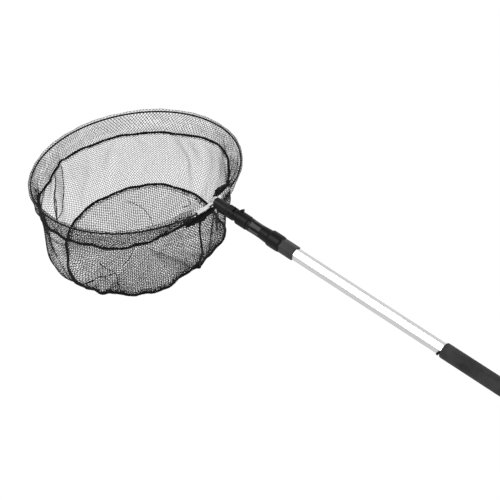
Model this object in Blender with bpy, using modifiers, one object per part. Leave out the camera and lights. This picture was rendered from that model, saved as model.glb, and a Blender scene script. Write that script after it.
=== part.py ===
"""Landing net: a telescopic hexagonal handle with a folding round net head.

The handle lies along X with the grip towards +X and the net towards -X. The origin is the
centre of the grip on the handle's axis. Places along the handle are given as stations, in
millimetres behind the hub, and the net is built in the hoop's own tilted frame.
"""
import math

import bmesh
import bpy
from mathutils import Matrix, Vector

MM = 0.001
CLEAR = 0.3            # gap between pieces that touch

# Handle, in millimetres
HUB_X = -525.0         # hub's place from the grip's centre
TUBE_CLEAR = 0.25      # running gap of a tube in a collar, on each flat
OUTER_FLATS = 19.0
OUTER_BORE = 17.2
MID_FLATS = 16.0
MID_BORE = 14.2
INNER_FLATS = 13.0
INNER_BORE = 11.2
OUTER_PLUG_FLATS = 16.8
INNER_PLUG_FLATS = 13.9

OUTER_TUBE = (140.3, 592.0)
MID_TUBE = (84.3, 530.0)
INNER_TUBE = (56.0, 480.0)
MID_PLUG = (530.3, 565.0)
INNER_PLUG = (480.3, 508.0)
PLUG_SPIGOT = 14.0
PLUG_VENT_R = 2.5

GRIP = (455.0, 595.0)
GRIP_R = 13.2
BUTT_END = 607.0
BUTT_SPIGOT = 574.0
STUD_STATION = 452.6
STUD_DIRECTION = math.radians(180.0)

# Head joint, in millimetres
SLEEVE = (48.0, 69.0)
SLEEVE_R = 12.05
CRADLE_FRONT = 10.0
CRADLE_R = 10.9
FORK_R = 9.5
FORK_FRONT = 25.4
FORK_REAR = 42.0
CRADLE_BORE_R = 9.6
KNUCKLE = (0.0, 25.0)
KNUCKLE_R = 9.3
PIN_STATION = 33.0
PIN_Z = 6.0
PIN_R = 1.25
EAR_R = 3.1
TONGUE_HALF = 4.9
SLOT_HALF = 5.2
SLEEVE_PIN_STATION = 63.0
BUTTON = (43.0, 52.0)
BUTTON_MIDDLE = (BUTTON[0] + BUTTON[1]) / 2.0
BUTTON_HALF = 3.0
BUTTON_FOOT_Z = 1.0
BUTTON_PEAK_Z = 15.9
BUTTON_TURN = math.radians(-30.0)   # the button stands on the upper far facet
POCKET_FLOOR_Z = -6.0
SPRING_R = 2.2
SPRING_WIRE_R = 0.35
SPRING_TURNS = 4
SPRING_POINTS = 10     # points a turn

# Hoop and bracket, in the hoop's frame: hub at the origin, +X towards the handle
HOOP_TILT = math.radians(-14.1)
HOOP_R = 179.0
HOOP_CENTRE_X = -181.0
WIRE_R = 1.5
WIRE_END_ANGLE = math.radians(2.6)
BRACKET_HALF = 41.0
WALL_INNER = 1.9       # channel walls' distance from the wire's centre
WALL_OUTER = 2.8
CHANNEL_ROOF_Z = 3.4
CHANNEL_BED_Z = 2.5
LIP_FOOT_Z = 0.2       # the wall on the handle's side is short
BACK_FOOT_Z = -3.4     # the wall inside the hoop reaches below the wire
HUB_PLATE_R = 9.0
SCREW_R = 1.2
SCREW_HEAD_R = 2.1

# Net bag, in the hoop's frame
NET_THICKNESS = 1.0
FOLD_R = 6.0
BAND_GAP_ANGLE = math.radians(14.2)
SEAM_R = 1.7
BAG_SEGMENTS = 40
WALL_BULGE = 11.0
BASE_SAG = 12.0
SIDE_SEAM_ANGLE = math.radians(-9.0)
SIDE_SEAM_HALF = math.radians(0.9)
PANEL_HALF_ANGLE = math.radians(13.4)
PANEL_TOP_Z = -10.0
PANEL_INSET = 4.0
# Rings of the bag: centre shift in x and y, height, radius, and slope along x and y
UPPER_RING = (-8.0, -4.0, -34.0, 165.0, 0.02, 0.03)
LOWER_RING = (-10.0, -9.0, -143.0, 134.0, -0.06, 0.12)

ROUND_STEPS = 32


def clear_scene():
    for obj in list(bpy.data.objects):
        bpy.data.objects.remove(obj, do_unlink=True)


def new_collection(name):
    collection = bpy.data.collections.new(name)
    bpy.context.scene.collection.children.link(collection)
    return collection


def make_material(name, colour, roughness, metallic):
    material = bpy.data.materials.new(name)
    material.use_nodes = True
    shader = material.node_tree.nodes["Principled BSDF"]
    shader.inputs["Base Color"].default_value = (*colour, 1.0)
    shader.inputs["Roughness"].default_value = roughness
    shader.inputs["Metallic"].default_value = metallic
    return material


def station(h):
    """World x, in metres, of a place h millimetres behind the hub."""
    return (HUB_X + h) * MM


class Workshop:
    """Holds the collections and makes objects in them."""

    def __init__(self):
        self.parts = new_collection("landing_net")
        self.cutters = new_collection("landing_net_cutters")

    def empty(self, name, location, parent=None, tilt=0.0, turn=0.0):
        frame = bpy.data.objects.new(name, None)
        self.cutters.objects.link(frame)
        frame.hide_render = True
        frame.parent = parent
        frame.location = location
        frame.rotation_euler = (turn, tilt, 0.0)
        return frame

    def part(self, name, mesh, material, parent):
        obj = bpy.data.objects.new(name, mesh)
        self.parts.objects.link(obj)
        obj.parent = parent
        mesh.materials.append(material)
        return obj

    def cutter(self, name, mesh, parent):
        obj = bpy.data.objects.new(name, mesh)
        self.cutters.objects.link(obj)
        obj.parent = parent
        obj.hide_render = True
        obj.display_type = "WIRE"
        return obj


def lay_along_pole(obj, h):
    """Turns the local +Z axis to world +X and puts the origin at station h."""
    origin = Vector((station(h), 0.0, 0.0))
    if obj.parent:
        origin -= obj.parent.location
    obj.location = origin
    obj.rotation_euler = (0.0, math.radians(90.0), 0.0)


def combine(obj, other, operation):
    modifier = obj.modifiers.new(operation.lower() + "_" + other.name, "BOOLEAN")
    modifier.operation = operation
    modifier.object = other


def mesh_from(name, bm):
    mesh = bpy.data.meshes.new(name)
    bm.to_mesh(mesh)
    bm.free()
    return mesh


def prism_mesh(name, flats, length):
    """A hexagonal bar along local Z from 0 to length, a corner towards local +X."""
    bm = bmesh.new()
    radius = flats / 2.0 / math.cos(math.radians(30.0)) * MM
    place = Matrix.Translation((0.0, 0.0, length / 2.0 * MM)) @ Matrix.Rotation(math.radians(30.0), 4, "Z")
    bmesh.ops.create_cone(bm, cap_ends=True, segments=6, radius1=radius, radius2=radius,
                          depth=length * MM, matrix=place)
    return mesh_from(name, bm)


def rod_mesh(name, radius, length, segments=24, axis="Z"):
    """A round bar centred on its own origin, along the given axis."""
    bm = bmesh.new()
    turn = {"X": Matrix.Rotation(math.radians(90.0), 4, "Y"),
            "Y": Matrix.Rotation(math.radians(90.0), 4, "X"),
            "Z": Matrix.Identity(4)}[axis]
    bmesh.ops.create_cone(bm, cap_ends=True, segments=segments, radius1=radius * MM,
                          radius2=radius * MM, depth=length * MM, matrix=turn)
    mesh = mesh_from(name, bm)
    mesh.shade_smooth()
    mesh.set_sharp_from_angle(angle=math.radians(40.0))
    return mesh


def box_mesh(name, low, high):
    """A box between two corners, in millimetres."""
    bm = bmesh.new()
    bmesh.ops.create_cube(bm, size=1.0)
    size = [(b - a) * MM for a, b in zip(low, high)]
    middle = Vector([(a + b) / 2.0 * MM for a, b in zip(low, high)])
    bmesh.ops.scale(bm, vec=size, verts=bm.verts)
    bmesh.ops.translate(bm, vec=middle, verts=bm.verts)
    return mesh_from(name, bm)


def turn_profile(obj, steps=ROUND_STEPS):
    screw = obj.modifiers.new("turn", "SCREW")
    screw.steps = steps
    screw.render_steps = steps
    screw.use_merge_vertices = True
    screw.merge_threshold = 0.00001
    screw.use_smooth_shade = False


def profile_mesh(name, profile, closed=False):
    """A line of (radius, height) points in millimetres, running down the outer side."""
    bm = bmesh.new()
    verts = [bm.verts.new((r * MM, 0.0, z * MM)) for r, z in profile]
    for first, second in zip(verts, verts[1:]):
        bm.edges.new((first, second))
    if closed:
        bm.edges.new((verts[-1], verts[0]))
    return mesh_from(name, bm)


def smooth_round(obj):
    """Applies the modifiers, then smooths the sides and keeps edges over 40 degrees sharp."""
    depsgraph = bpy.context.evaluated_depsgraph_get()
    mesh = bpy.data.meshes.new_from_object(obj.evaluated_get(depsgraph))
    obj.modifiers.clear()
    obj.data = mesh
    mesh.shade_smooth()
    mesh.set_sharp_from_angle(angle=math.radians(40.0))


def rounded(front, back, radius, edge):
    """Profile of a plain round bar from the back to the front with rounded edges."""
    corner = [math.radians(a) for a in (90.0, 60.0, 30.0, 0.0)]
    points = [(0.0, back)]
    points += [(radius - edge + edge * math.cos(a), back - edge + edge * math.sin(a)) for a in corner]
    points += [(radius - edge + edge * math.cos(a), front + edge - edge * math.sin(a)) for a in reversed(corner)]
    points.append((0.0, front))
    return points


def hex_tube(shop, name, span, flats, bore, material, parent):
    length = span[1] - span[0]
    tube = shop.part(name, prism_mesh(name, flats, length), material, parent)
    lay_along_pole(tube, span[0])
    hollow = shop.cutter(name + "_bore", prism_mesh(name + "_bore", bore, length + 4.0), parent)
    lay_along_pole(hollow, span[0] - 2.0)
    combine(tube, hollow, "DIFFERENCE")
    return tube


def hex_hole(shop, obj, name, span, flats, parent):
    hole = shop.cutter(name, prism_mesh(name, flats, span[1] - span[0]), parent)
    lay_along_pole(hole, span[0])
    combine(obj, hole, "DIFFERENCE")


def turned_on_pole(shop, name, profile, material, parent):
    """A turned piece whose profile heights are stations."""
    base = profile[-1][1]
    local = [(r, h - base) for r, h in profile]
    obj = shop.part(name, profile_mesh(name, local), material, parent)
    turn_profile(obj)
    lay_along_pole(obj, base)
    return obj


def cross_hole(shop, obj, name, radius, length, h, z, parent):
    hole = shop.cutter(name, rod_mesh(name, radius, length, axis="Y"), parent)
    hole.location = Vector((station(h), 0.0, z * MM)) - parent.location
    combine(obj, hole, "DIFFERENCE")


def pole_box(shop, obj, name, low, high, operation, parent):
    """Adds or cuts a box given in stations along X."""
    corners = [(HUB_X + low[0], low[1], low[2]), (HUB_X + high[0], high[1], high[2])]
    block = shop.cutter(name, box_mesh(name, *corners), parent)
    block.location = -parent.location
    combine(obj, block, operation)


def tail_plug(shop, name, span, flats, spigot_flats, material, parent):
    """A guide plug on a tube's rear end, with a spigot inside the tube and an air hole."""
    plug = shop.part(name, prism_mesh(name, flats, span[1] - span[0]), material, parent)
    lay_along_pole(plug, span[0])
    spigot = shop.cutter(name + "_spigot", prism_mesh(name + "_spigot", spigot_flats, PLUG_SPIGOT + 1.0), parent)
    lay_along_pole(spigot, span[0] - PLUG_SPIGOT)
    combine(plug, spigot, "UNION")
    middle = (span[0] - PLUG_SPIGOT + span[1]) / 2.0
    vent = shop.cutter(name + "_vent", rod_mesh(name + "_vent", PLUG_VENT_R, 80.0, axis="X"), parent)
    vent.location = Vector((station(middle), 0.0, 0.0)) - parent.location
    combine(plug, vent, "DIFFERENCE")
    return plug


def build_outer_handle(shop, paint, root):
    tube = hex_tube(shop, "outer_tube", OUTER_TUBE, OUTER_FLATS, OUTER_BORE, paint["aluminium"], root)

    shoulders = [(0.0, 138.0), (12.7, 138.0), (13.5, 136.6), (13.9, 134.0), (14.0, 130.0), (14.0, 119.0),
                 (13.8, 116.0), (13.4, 114.2), (12.6, 113.0), (0.0, 113.0)]
    collar = turned_on_pole(shop, "outer_collar", shoulders, paint["collar"], root)
    skirt_flats = 25.6 * math.cos(math.radians(30.0))
    skirt = shop.cutter("outer_collar_skirt", prism_mesh("outer_collar_skirt", skirt_flats, 30.0), root)
    lay_along_pole(skirt, 136.0)
    combine(collar, skirt, "UNION")
    shoulder_at = OUTER_TUBE[0] - CLEAR
    hex_hole(shop, collar, "outer_collar_guide", (100.0, 150.0), MID_FLATS + 2.0 * TUBE_CLEAR, root)
    hex_hole(shop, collar, "outer_collar_socket", (shoulder_at, 180.0), OUTER_FLATS + 2.0 * CLEAR, root)
    smooth_round(collar)

    grip = turned_on_pole(shop, "grip", rounded(GRIP[0], GRIP[1], GRIP_R, 2.4), paint["foam"], root)
    hex_hole(shop, grip, "grip_bore", (GRIP[0] - 5.0, GRIP[1] + 5.0), OUTER_FLATS + 2.0 * CLEAR, root)
    smooth_round(grip)

    cap = turned_on_pole(shop, "butt_cap", rounded(GRIP[1] + CLEAR, BUTT_END, GRIP_R + 0.5, 2.0),
                         paint["collar"], root)
    spigot = shop.cutter("butt_spigot", prism_mesh("butt_spigot", OUTER_BORE - 2.0 * CLEAR,
                                                   GRIP[1] + 2.0 - BUTT_SPIGOT), root)
    lay_along_pole(spigot, BUTT_SPIGOT)
    combine(cap, spigot, "UNION")
    smooth_round(cap)

    build_grip_stud(shop, paint, root, tube)


def build_grip_stud(shop, paint, root, tube):
    """A round-headed stud through a side wall of the tube, just in front of the grip."""
    outward = Vector((0.0, math.cos(STUD_DIRECTION), math.sin(STUD_DIRECTION)))
    turn = outward.to_track_quat("Z", "Y").to_euler()
    seat = OUTER_BORE / 2.0 + 0.1
    profile = [(0.0, 6.9), (0.9, 6.75), (1.7, 6.2), (2.1, 5.3), (2.1, 1.2), (1.2, 1.2), (1.2, 0.0), (0.0, 0.0)]
    stud = shop.part("grip_stud", profile_mesh("grip_stud", profile), paint["button"], root)
    turn_profile(stud, 20)
    stud.rotation_euler = turn
    stud.location = Vector((station(STUD_STATION), 0.0, 0.0)) + outward * seat * MM
    smooth_round(stud)
    hole = shop.cutter("grip_stud_hole", rod_mesh("grip_stud_hole", 1.5, 4.0, segments=20), root)
    hole.rotation_euler = turn
    hole.location = Vector((station(STUD_STATION), 0.0, 0.0)) + outward * (seat + 0.5) * MM
    combine(tube, hole, "DIFFERENCE")


def build_mid_section(shop, paint, section):
    hex_tube(shop, "mid_tube", MID_TUBE, MID_FLATS, MID_BORE, paint["aluminium"], section)
    outline = [(0.0, 112.6), (11.4, 112.6), (11.85, 111.6), (11.85, 109.0), (11.45, 104.0), (11.0, 97.0),
               (10.85, 89.0), (11.0, 80.0), (11.25, 74.0), (11.25, 70.4), (10.8, 69.4), (0.0, 69.4)]
    collar = turned_on_pole(shop, "mid_collar", outline, paint["collar"], section)
    for index in range(6):
        flat = shop.cutter(f"mid_collar_flat_{index}", box_mesh(
            f"mid_collar_flat_{index}", (76.0 - MID_TUBE[0], 10.45, -6.0), (96.0 - MID_TUBE[0], 16.0, 6.0)), section)
        flat.rotation_euler = (math.radians(60.0 * index), 0.0, 0.0)
        combine(collar, flat, "DIFFERENCE")
    hex_hole(shop, collar, "mid_collar_guide", (60.0, 95.0), INNER_FLATS + 2.0 * TUBE_CLEAR, section)
    hex_hole(shop, collar, "mid_collar_socket", (MID_TUBE[0] - CLEAR, 130.0), MID_FLATS + 2.0 * CLEAR, section)
    smooth_round(collar)
    tail_plug(shop, "mid_tail_plug", MID_PLUG, OUTER_PLUG_FLATS, MID_BORE - 2.0 * CLEAR, paint["plug"], section)


def build_inner_section(shop, paint, section, button_frame):
    tube = hex_tube(shop, "inner_tube", INNER_TUBE, INNER_FLATS, INNER_BORE, paint["aluminium"], section)
    cross_hole(shop, tube, "inner_tube_pin_hole", PIN_R + CLEAR, 40.0, SLEEVE_PIN_STATION, 0.0, section)
    tail_plug(shop, "inner_tail_plug", INNER_PLUG, INNER_PLUG_FLATS, INNER_BORE - 2.0 * CLEAR,
              paint["plug"], section)
    build_head_sleeve(shop, paint, section, button_frame)
    build_cross_pin(shop, "sleeve_pin", SLEEVE_PIN_STATION, 0.0, 11.2, paint["dark_steel"], section)
    build_cross_pin(shop, "hinge_pin", PIN_STATION, PIN_Z, 8.6, paint["dark_steel"], section)
    build_button_spring(shop, paint, button_frame)


def build_head_sleeve(shop, paint, section, button_frame):
    """The sleeve on the inner tube, with a lower cradle and a fork for the folding head."""
    outline = [(0.0, SLEEVE[1]), (11.4, SLEEVE[1]), (SLEEVE_R, SLEEVE[1] - 0.8), (SLEEVE_R, SLEEVE[0] + 1.0),
               (11.4, SLEEVE[0]), (FORK_R, SLEEVE[0] - 0.2), (FORK_R, FORK_REAR), (CRADLE_R, FORK_REAR - 1.5),
               (CRADLE_R, CRADLE_FRONT + 1.0), (CRADLE_R - 0.2, CRADLE_FRONT), (0.0, CRADLE_FRONT)]
    sleeve = turned_on_pole(shop, "head_sleeve", outline, paint["plastic"], section)
    room = shop.cutter("cradle_room", rod_mesh("cradle_room", CRADLE_BORE_R, 46.0, segments=40, axis="X"), section)
    room.location = Vector((station(FORK_FRONT - 23.0), 0.0, 0.0)) - section.location
    combine(sleeve, room, "DIFFERENCE")
    pole_box(shop, sleeve, "cradle_top", (0.0, -20.0, -4.0), (FORK_FRONT + 0.4, 20.0, 20.0), "DIFFERENCE", section)
    pole_box(shop, sleeve, "fork_slot", (20.0, -SLOT_HALF, -3.0), (40.0, SLOT_HALF, 20.0), "DIFFERENCE", section)
    pocket = BUTTON_HALF + CLEAR
    hollow = shop.cutter("button_pocket", box_mesh(
        "button_pocket", (BUTTON[0] - CLEAR - BUTTON_MIDDLE, -pocket, POCKET_FLOOR_Z),
        (BUTTON[1] + CLEAR - BUTTON_MIDDLE, pocket, 20.0)), button_frame)
    combine(sleeve, hollow, "DIFFERENCE")
    hex_hole(shop, sleeve, "sleeve_bore", (INNER_TUBE[0] - CLEAR, SLEEVE[1] + 5.0),
             INNER_FLATS + 2.0 * CLEAR, section)
    cross_hole(shop, sleeve, "sleeve_pin_hole", PIN_R + CLEAR, 40.0, SLEEVE_PIN_STATION, 0.0, section)
    cross_hole(shop, sleeve, "hinge_pin_hole", PIN_R + CLEAR, 40.0, PIN_STATION, PIN_Z, section)
    smooth_round(sleeve)


def build_cross_pin(shop, name, h, z, half_length, material, section):
    pin = shop.part(name, rod_mesh(name, PIN_R, 2.0 * half_length, segments=20, axis="Y"), material, section)
    pin.location = Vector((station(h), 0.0, z * MM)) - section.location


def build_button_spring(shop, paint, button_frame):
    """A coil spring that stands on the pocket's floor below the button."""
    low = POCKET_FLOOR_Z + CLEAR + SPRING_WIRE_R
    high = BUTTON_FOOT_Z - CLEAR - SPRING_WIRE_R
    steps = SPRING_TURNS * SPRING_POINTS
    curve = bpy.data.curves.new("button_spring", "CURVE")
    curve.dimensions = "3D"
    curve.bevel_depth = SPRING_WIRE_R * MM
    curve.bevel_resolution = 2
    curve.use_fill_caps = True
    line = curve.splines.new("POLY")
    line.points.add(steps)
    for index in range(steps + 1):
        turn = 2.0 * math.pi * index / SPRING_POINTS
        height = low + (high - low) * index / steps
        point = (SPRING_R * math.cos(turn) * MM, SPRING_R * math.sin(turn) * MM, height * MM, 1.0)
        line.points[index].co = point
    spring = bpy.data.objects.new("button_spring", curve)
    curve.materials.append(paint["steel"])
    shop.parts.objects.link(spring)
    spring.parent = button_frame


def build_release_button(shop, paint, button_frame):
    """A wedge that rises towards the grip; its foot slides in the sleeve's pocket."""
    outline = [(BUTTON[0], BUTTON_FOOT_Z), (BUTTON[1], BUTTON_FOOT_Z), (BUTTON[1], 13.4),
               (BUTTON[1] - 0.9, BUTTON_PEAK_Z - 0.2), (BUTTON[1] - 1.8, BUTTON_PEAK_Z),
               (BUTTON[1] - 3.0, BUTTON_PEAK_Z - 0.3), (BUTTON[0] + 2.0, 11.2), (BUTTON[0], 9.4)]
    curve = bpy.data.curves.new("release_button", "CURVE")
    curve.dimensions = "2D"
    curve.fill_mode = "BOTH"
    curve.extrude = BUTTON_HALF * MM
    line = curve.splines.new("POLY")
    line.points.add(len(outline) - 1)
    for point, (h, z) in zip(line.points, outline):
        point.co = ((h - BUTTON_MIDDLE) * MM, z * MM, 0.0, 1.0)
    line.use_cyclic_u = True
    button = bpy.data.objects.new("release_button", curve)
    curve.materials.append(paint["button"])
    shop.parts.objects.link(button)
    button.parent = button_frame
    button.rotation_euler = (math.radians(90.0), 0.0, 0.0)


def build_knuckle(shop, paint, head, hoop_frame):
    """The round head piece with a tongue for the hinge pin, its nose cut square to the hoop."""
    knuckle = turned_on_pole(shop, "hub_knuckle", rounded(KNUCKLE[0], KNUCKLE[1], KNUCKLE_R, 1.0),
                             paint["knuckle"], head)
    pole_box(shop, knuckle, "tongue", (KNUCKLE[1] - 1.0, -TONGUE_HALF, PIN_Z - EAR_R),
             (PIN_STATION, TONGUE_HALF, PIN_Z + EAR_R), "UNION", head)
    end = shop.cutter("tongue_end", rod_mesh("tongue_end", EAR_R, 2.0 * TONGUE_HALF, segments=32, axis="Y"), head)
    end.location = Vector((station(PIN_STATION), 0.0, PIN_Z * MM)) - head.location
    combine(knuckle, end, "UNION")
    cross_hole(shop, knuckle, "tongue_hole", PIN_R + CLEAR, 40.0, PIN_STATION, PIN_Z, head)
    face = HOOP_CENTRE_X + HOOP_R + WALL_OUTER + CLEAR
    nose = shop.cutter("nose_cut", box_mesh("nose_cut", (-30.0, -20.0, -20.0), (face, 20.0, 20.0)), hoop_frame)
    combine(knuckle, nose, "DIFFERENCE")
    bore = shop.cutter("screw_bore", rod_mesh("screw_bore", SCREW_R + CLEAR, 26.0, segments=20, axis="X"),
                       hoop_frame)
    combine(knuckle, bore, "DIFFERENCE")
    smooth_round(knuckle)


def build_bracket(shop, paint, hoop_frame):
    """A bright strip bent over the hoop's wire, open below, with round cheeks at the knuckle."""
    section = [(HOOP_R + WALL_INNER, LIP_FOOT_Z), (HOOP_R + WALL_INNER, CHANNEL_BED_Z),
               (HOOP_R - WALL_INNER, CHANNEL_BED_Z), (HOOP_R - WALL_INNER, BACK_FOOT_Z),
               (HOOP_R - WALL_OUTER, BACK_FOOT_Z), (HOOP_R - WALL_OUTER, CHANNEL_ROOF_Z),
               (HOOP_R + WALL_OUTER, CHANNEL_ROOF_Z), (HOOP_R + WALL_OUTER, LIP_FOOT_Z)]
    bracket = shop.part("hub_bracket", profile_mesh("hub_bracket", section, closed=True),
                        paint["bright"], hoop_frame)
    bracket.location = (HOOP_CENTRE_X * MM, 0.0, 0.0)
    turn_profile(bracket, 120)
    keep = shop.cutter("bracket_keep", box_mesh("bracket_keep", (-40.0, -BRACKET_HALF, -20.0),
                                                (40.0, BRACKET_HALF, 20.0)), hoop_frame)
    combine(bracket, keep, "INTERSECT")
    wire_x = HOOP_CENTRE_X + HOOP_R
    wall_middle = (WALL_INNER + WALL_OUTER) / 2.0
    for side, name in ((-1, "back_cheek"), (1, "front_cheek")):
        cheek = shop.cutter(name, rod_mesh(name, HUB_PLATE_R, WALL_OUTER - WALL_INNER, segments=48, axis="X"),
                            hoop_frame)
        cheek.location = ((wire_x + side * wall_middle) * MM, 0.0, 0.0)
        combine(bracket, cheek, "UNION")
    web_hole = shop.cutter("web_hole", rod_mesh("web_hole", SCREW_R + CLEAR, 4.0, segments=20, axis="X"),
                           hoop_frame)
    web_hole.location = ((wire_x + WALL_OUTER) * MM, 0.0, 0.0)
    combine(bracket, web_hole, "DIFFERENCE")
    smooth_round(bracket)
    build_hub_screw(shop, paint, hoop_frame)


def build_hub_screw(shop, paint, hoop_frame):
    """The screw that holds the bracket on the knuckle, its head inside the channel."""
    seat = HOOP_CENTRE_X + HOOP_R + WALL_INNER - CLEAR
    profile = [(0.0, 10.5), (SCREW_R, 10.5), (SCREW_R, 0.0), (SCREW_HEAD_R, 0.0), (SCREW_HEAD_R, -0.9),
               (1.5, -1.4), (0.0, -1.6)]
    screw = shop.part("hub_screw", profile_mesh("hub_screw", profile), paint["bright"], hoop_frame)
    turn_profile(screw, 20)
    screw.location = (seat * MM, 0.0, 0.0)
    screw.rotation_euler = (0.0, math.radians(90.0), 0.0)
    smooth_round(screw)


def tube_along(shop, name, points, radius, closed, material, parent):
    """A round tube through a list of points in millimetres."""
    curve = bpy.data.curves.new(name, "CURVE")
    curve.dimensions = "3D"
    curve.bevel_depth = radius * MM
    curve.bevel_resolution = 2
    curve.use_fill_caps = not closed
    line = curve.splines.new("POLY")
    line.points.add(len(points) - 1)
    for point, place in zip(line.points, points):
        point.co = (*(Vector(place) * MM), 1.0)
    line.use_cyclic_u = closed
    tube = bpy.data.objects.new(name, curve)
    curve.materials.append(material)
    shop.parts.objects.link(tube)
    tube.parent = parent
    return tube


def build_hoop(shop, paint, hoop_frame):
    count = 64
    span = 2.0 * math.pi - 2.0 * WIRE_END_ANGLE
    angles = [WIRE_END_ANGLE + span * index / count for index in range(count + 1)]
    points = [ring_point((0.0, 0.0, 0.0, HOOP_R, 0.0, 0.0), angle) for angle in angles]
    tube_along(shop, "hoop_wire", points, WIRE_R, False, paint["wire"], hoop_frame)


def ring_point(ring, angle, outward=0.0, lift=0.0):
    """A point of a ring of the bag, moved outward and up, in the hoop's frame."""
    shift_x, shift_y, height, radius, slope_x, slope_y = ring
    reach_x = (radius + outward) * math.cos(angle)
    reach_y = (radius + outward) * math.sin(angle)
    z = height + slope_x * reach_x + slope_y * reach_y + lift
    return Vector((HOOP_CENTRE_X + shift_x + reach_x, shift_y + reach_y, z))


def wall_point(angle, share, outward=0.0):
    """A point of the bag's wall, share running from the upper seam to the lower one."""
    upper = ring_point(UPPER_RING, angle, outward)
    lower = ring_point(LOWER_RING, angle, outward)
    point = upper.lerp(lower, share)
    swell = WALL_BULGE * math.sin(math.pi * share ** 1.3)
    return point + Vector((math.cos(angle), math.sin(angle), 0.0)) * swell


def band_point(angle, share, outward, lift=0.0):
    """A point of the double band, share running from the hoop to the upper seam."""
    rim = ring_point((0.0, 0.0, 0.0, HOOP_R, 0.0, 0.0), angle, outward, lift)
    return rim.lerp(ring_point(UPPER_RING, angle, outward, lift), share)


def shell_between(shop, name, rows, closed, material, parent, thickness=NET_THICKNESS):
    """A thin shell lofted over rows of points."""
    bm = bmesh.new()
    grid = [[bm.verts.new(point * MM) for point in row] for row in rows]
    width = len(grid[0])
    columns = width if closed else width - 1
    for above, below in zip(grid, grid[1:]):
        for index in range(columns):
            following = (index + 1) % width
            bm.faces.new((above[index], below[index], below[following], above[following]))
    mesh = mesh_from(name, bm)
    mesh.shade_smooth()
    shell = shop.part(name, mesh, material, parent)
    solidify = shell.modifiers.new("thickness", "SOLIDIFY")
    solidify.thickness = thickness * MM
    solidify.offset = 0.0
    return shell


def band_rows(angles):
    """Rows from the upper seam up the outside, over the wire and down the inside."""
    foot = 1.0 - (SEAM_R + CLEAR + 0.8) / abs(UPPER_RING[2])
    outside = [(foot, 1.6), (0.62, 3.6), (0.3, 5.6)]
    fold = [(FOLD_R * math.cos(a), FOLD_R * math.sin(a))
            for a in (math.radians(step) for step in range(0, 181, 45))]
    rows = [[band_point(angle, share, out) for angle in angles] for share, out in outside]
    rows += [[band_point(angle, 0.0, out, lift) for angle in angles] for out, lift in fold]
    rows += [[band_point(angle, share, -out) for angle in angles] for share, out in reversed(outside)]
    return rows


def even_angles(count, start=0.0, end=2.0 * math.pi, closed=True):
    steps = count if closed else count - 1
    return [start + (end - start) * index / steps for index in range(count)]


def build_bag(shop, paint, hoop_frame):
    around = even_angles(BAG_SEGMENTS)
    open_angles = even_angles(BAG_SEGMENTS, BAND_GAP_ANGLE, 2.0 * math.pi - BAND_GAP_ANGLE, closed=False)
    shell_between(shop, "net_band", band_rows(open_angles), False, paint["mesh"], hoop_frame)

    depth = abs(LOWER_RING[2] - UPPER_RING[2])
    margin = (SEAM_R + CLEAR + 0.6) / depth
    shares = [margin + (1.0 - 2.0 * margin) * index / 6.0 for index in range(7)]
    wall = [[wall_point(angle, share) for angle in around] for share in shares]
    shell_between(shop, "net_wall", wall, True, paint["mesh"], hoop_frame)

    build_base(shop, paint, hoop_frame, around)
    for name, ring in (("upper_seam", UPPER_RING), ("lower_seam", LOWER_RING)):
        points = [ring_point(ring, angle) for angle in even_angles(56)]
        tube_along(shop, name, points, SEAM_R, True, paint["binding"], hoop_frame)

    build_hub_panel(shop, paint, hoop_frame)

    strip = even_angles(3, SIDE_SEAM_ANGLE - SIDE_SEAM_HALF, SIDE_SEAM_ANGLE + SIDE_SEAM_HALF, closed=False)
    seam_rows = [[wall_point(angle, share, 1.5) for angle in strip] for share in shares]
    shell_between(shop, "side_seam", seam_rows, False, paint["binding"], hoop_frame, 1.2)


def build_hub_panel(shop, paint, hoop_frame):
    """The single layer of mesh that closes the band's gap below the hub."""
    top = PANEL_TOP_Z / UPPER_RING[2]
    foot = 1.0 - (SEAM_R + CLEAR + 1.0) / abs(UPPER_RING[2])
    angles = even_angles(7, -PANEL_HALF_ANGLE, PANEL_HALF_ANGLE, closed=False)
    shares = [top + (foot - top) * index / 4.0 for index in range(5)]
    rows = [[band_point(angle, share, -PANEL_INSET * (1.0 - share)) for angle in angles] for share in shares]
    shell_between(shop, "net_hub_panel", rows, False, paint["mesh"], hoop_frame)


def base_point(angle, share):
    """A point of the sagging bottom, share running from the seam to the middle."""
    edge = ring_point(LOWER_RING, angle, -(SEAM_R + CLEAR + 0.8))
    middle = ring_point(LOWER_RING[:3] + (0.0,) + LOWER_RING[4:], angle)
    point = edge.lerp(middle, share)
    point.z -= BASE_SAG * math.sin(math.pi / 2.0 * share)
    return point


def build_base(shop, paint, hoop_frame, around):
    bm = bmesh.new()
    shares = (0.0, 0.12, 0.3, 0.55, 0.8)
    rows = [[bm.verts.new(base_point(angle, share) * MM) for angle in around] for share in shares]
    for outer, inner in zip(rows, rows[1:]):
        for index in range(BAG_SEGMENTS):
            following = (index + 1) % BAG_SEGMENTS
            bm.faces.new((outer[index], inner[index], inner[following], outer[following]))
    tip = bm.verts.new(base_point(0.0, 1.0) * MM)
    for index in range(BAG_SEGMENTS):
        bm.faces.new((rows[-1][index], tip, rows[-1][(index + 1) % BAG_SEGMENTS]))
    mesh = mesh_from("net_base", bm)
    mesh.shade_smooth()
    base = shop.part("net_base", mesh, paint["mesh"], hoop_frame)
    solidify = base.modifiers.new("thickness", "SOLIDIFY")
    solidify.thickness = NET_THICKNESS * MM
    solidify.offset = 0.0


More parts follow.
